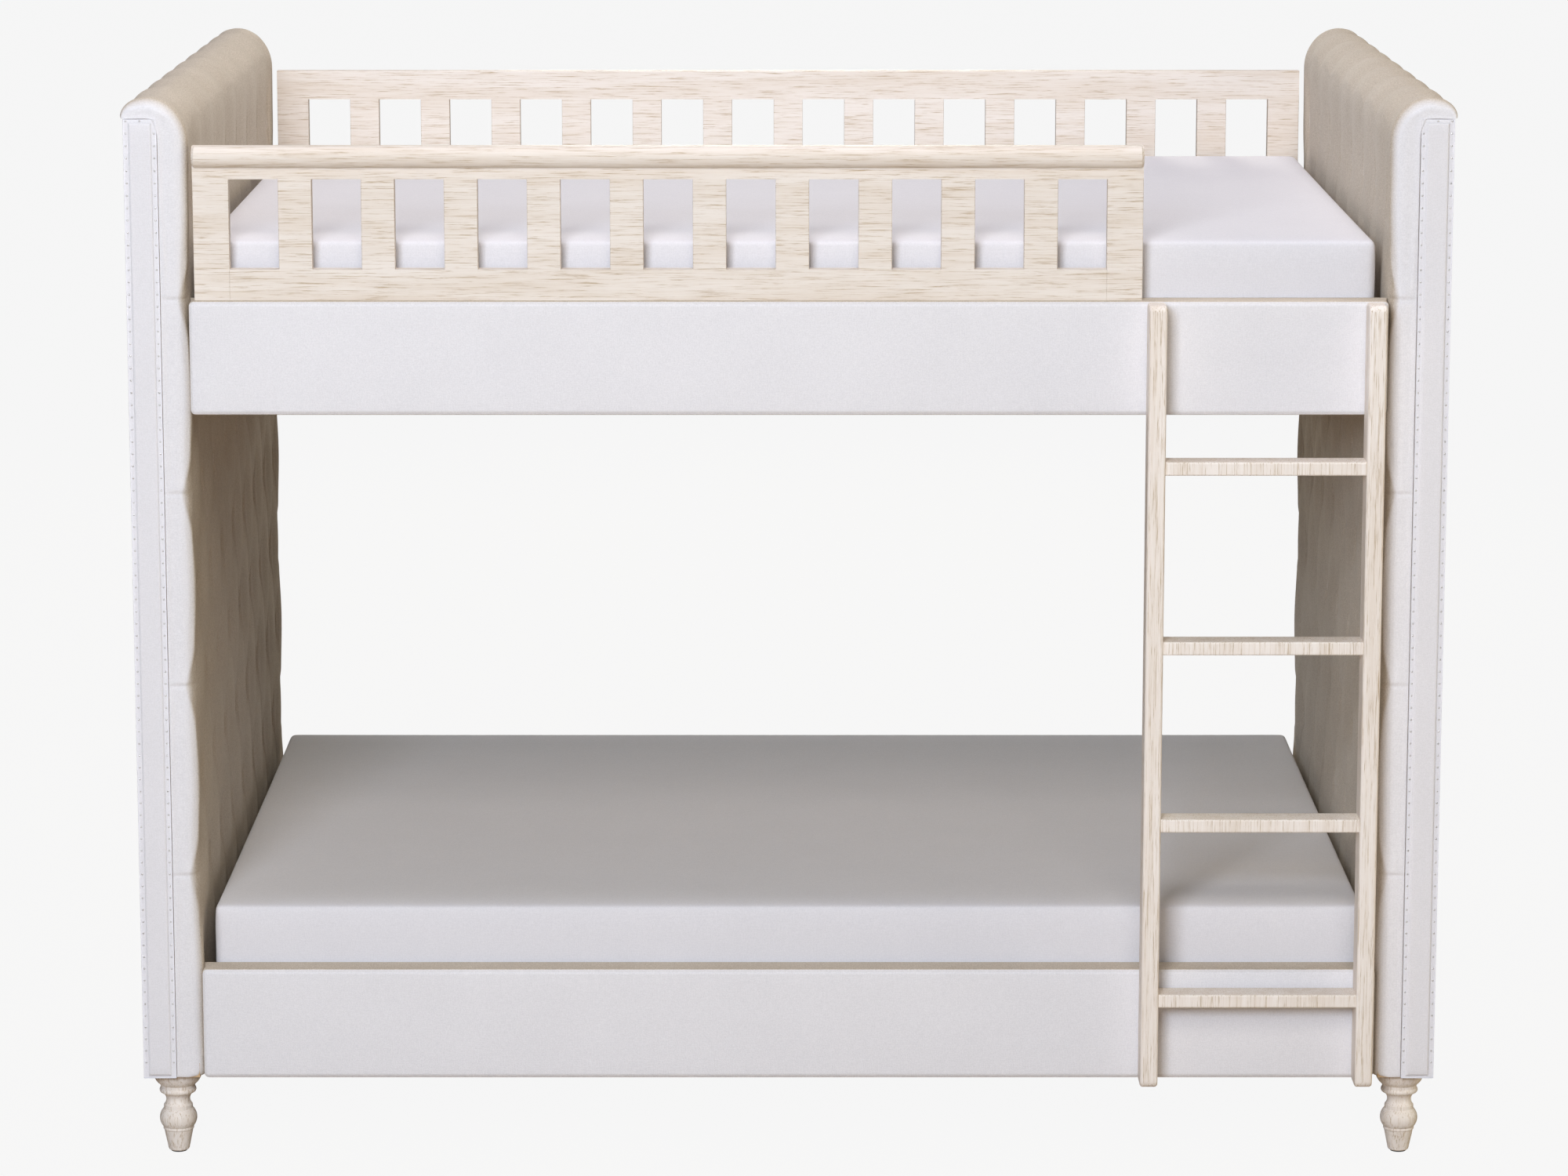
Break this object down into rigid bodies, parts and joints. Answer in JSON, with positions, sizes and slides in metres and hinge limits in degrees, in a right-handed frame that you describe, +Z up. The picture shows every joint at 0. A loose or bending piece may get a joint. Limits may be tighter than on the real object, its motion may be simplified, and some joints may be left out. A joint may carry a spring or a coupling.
{
  "type": "bunk bed with ladder",
  "caption": "Upholstered bunk bed with tufted end panels, slatted decks and mattresses, pale oak guard rails and feet, and an upright oak ladder.",
  "frame": {"origin": "centre of the bed's outline seen from above, with the ladder counted, on the floor", "axes": "+X along the mattresses towards the ladder's end, +Y from the ladder's side to the back, +Z up"},
  "size_m": [2.146, 1.54, 1.765],
  "materials": {
    "linen": "matte",
    "border_linen": "matte",
    "mattress_cloth": "matte",
    "whitewashed_oak": "satin",
    "inner_wood": "matte",
    "plywood": "matte",
    "zinc_steel": "satin",
    "nickel": "satin",
    "glide_plastic": "matte"
  },
  "bodies": {
    "bed_frame": {"back_guard_balusters": "whitewashed_oak", "back_guard_bottom_rail": "whitewashed_oak", "back_guard_moulding": "whitewashed_oak", "back_guard_posts": "whitewashed_oak", "back_guard_top_rail": "whitewashed_oak", "back_left_foot": "whitewashed_oak", "back_right_foot": "whitewashed_oak", "beam_hangers": "zinc_steel", "bearing_blocks": "inner_wood", "bracket_screws": "zinc_steel", "cleat_screws": "zinc_steel", "connector_bolts": "zinc_steel", "foot_glides": "glide_plastic", "foot_hanger_bolts": "zinc_steel", "front_guard_balusters": "whitewashed_oak", "front_guard_bottom_rail": "whitewashed_oak", "front_guard_moulding": "whitewashed_oak", "front_guard_posts": "whitewashed_oak", "front_guard_top_rail": "whitewashed_oak", "front_left_foot": "whitewashed_oak", "front_right_foot": "whitewashed_oak", "guard_studs": "zinc_steel", "ladder_left_stile": "whitewashed_oak", "ladder_right_stile": "whitewashed_oak", "ladder_rungs": "whitewashed_oak", "left_back_border": "border_linen", "left_cross_rails": "inner_wood", "left_end_posts": "inner_wood", "left_front_border": "border_linen", "left_inner_sheet": "plywood", "left_outer_cover": "linen", "left_sill": "inner_wood", "left_tufted_padding": "linen", "lower_back_rail_core": "inner_wood", "lower_back_rail_cover": "linen", "lower_center_beam": "inner_wood", "lower_front_rail_core": "inner_wood", "lower_front_rail_cover": "linen", "lower_slats": "inner_wood", "nailhead_trim": "nickel", "rail_brackets": "zinc_steel", "right_back_border": "border_linen", "right_cross_rails": "inner_wood", "right_end_posts": "inner_wood", "right_front_border": "border_linen", "right_inner_sheet": "plywood", "right_outer_cover": "linen", "right_sill": "inner_wood", "right_tufted_padding": "linen", "slat_cleats": "inner_wood", "threaded_inserts": "zinc_steel", "upper_back_rail_core": "inner_wood", "upper_back_rail_cover": "linen", "upper_center_beam": "inner_wood", "upper_front_rail_core": "inner_wood", "upper_front_rail_cover": "linen", "upper_slats": "inner_wood"},
    "lower_mattress": {"lower_mattress": "mattress_cloth"},
    "upper_mattress": {"upper_mattress": "mattress_cloth"}
  },
  "joints": [
    {"name": "lower_mattress_lift", "type": "slide", "parent": "bed_frame", "child": "lower_mattress", "axis": [0, 0, 1], "range_m": [0, 0.5]},
    {"name": "upper_mattress_lift", "type": "slide", "parent": "bed_frame", "child": "upper_mattress", "axis": [0, 0, 1], "range_m": [0, 0.4]}
  ]
}
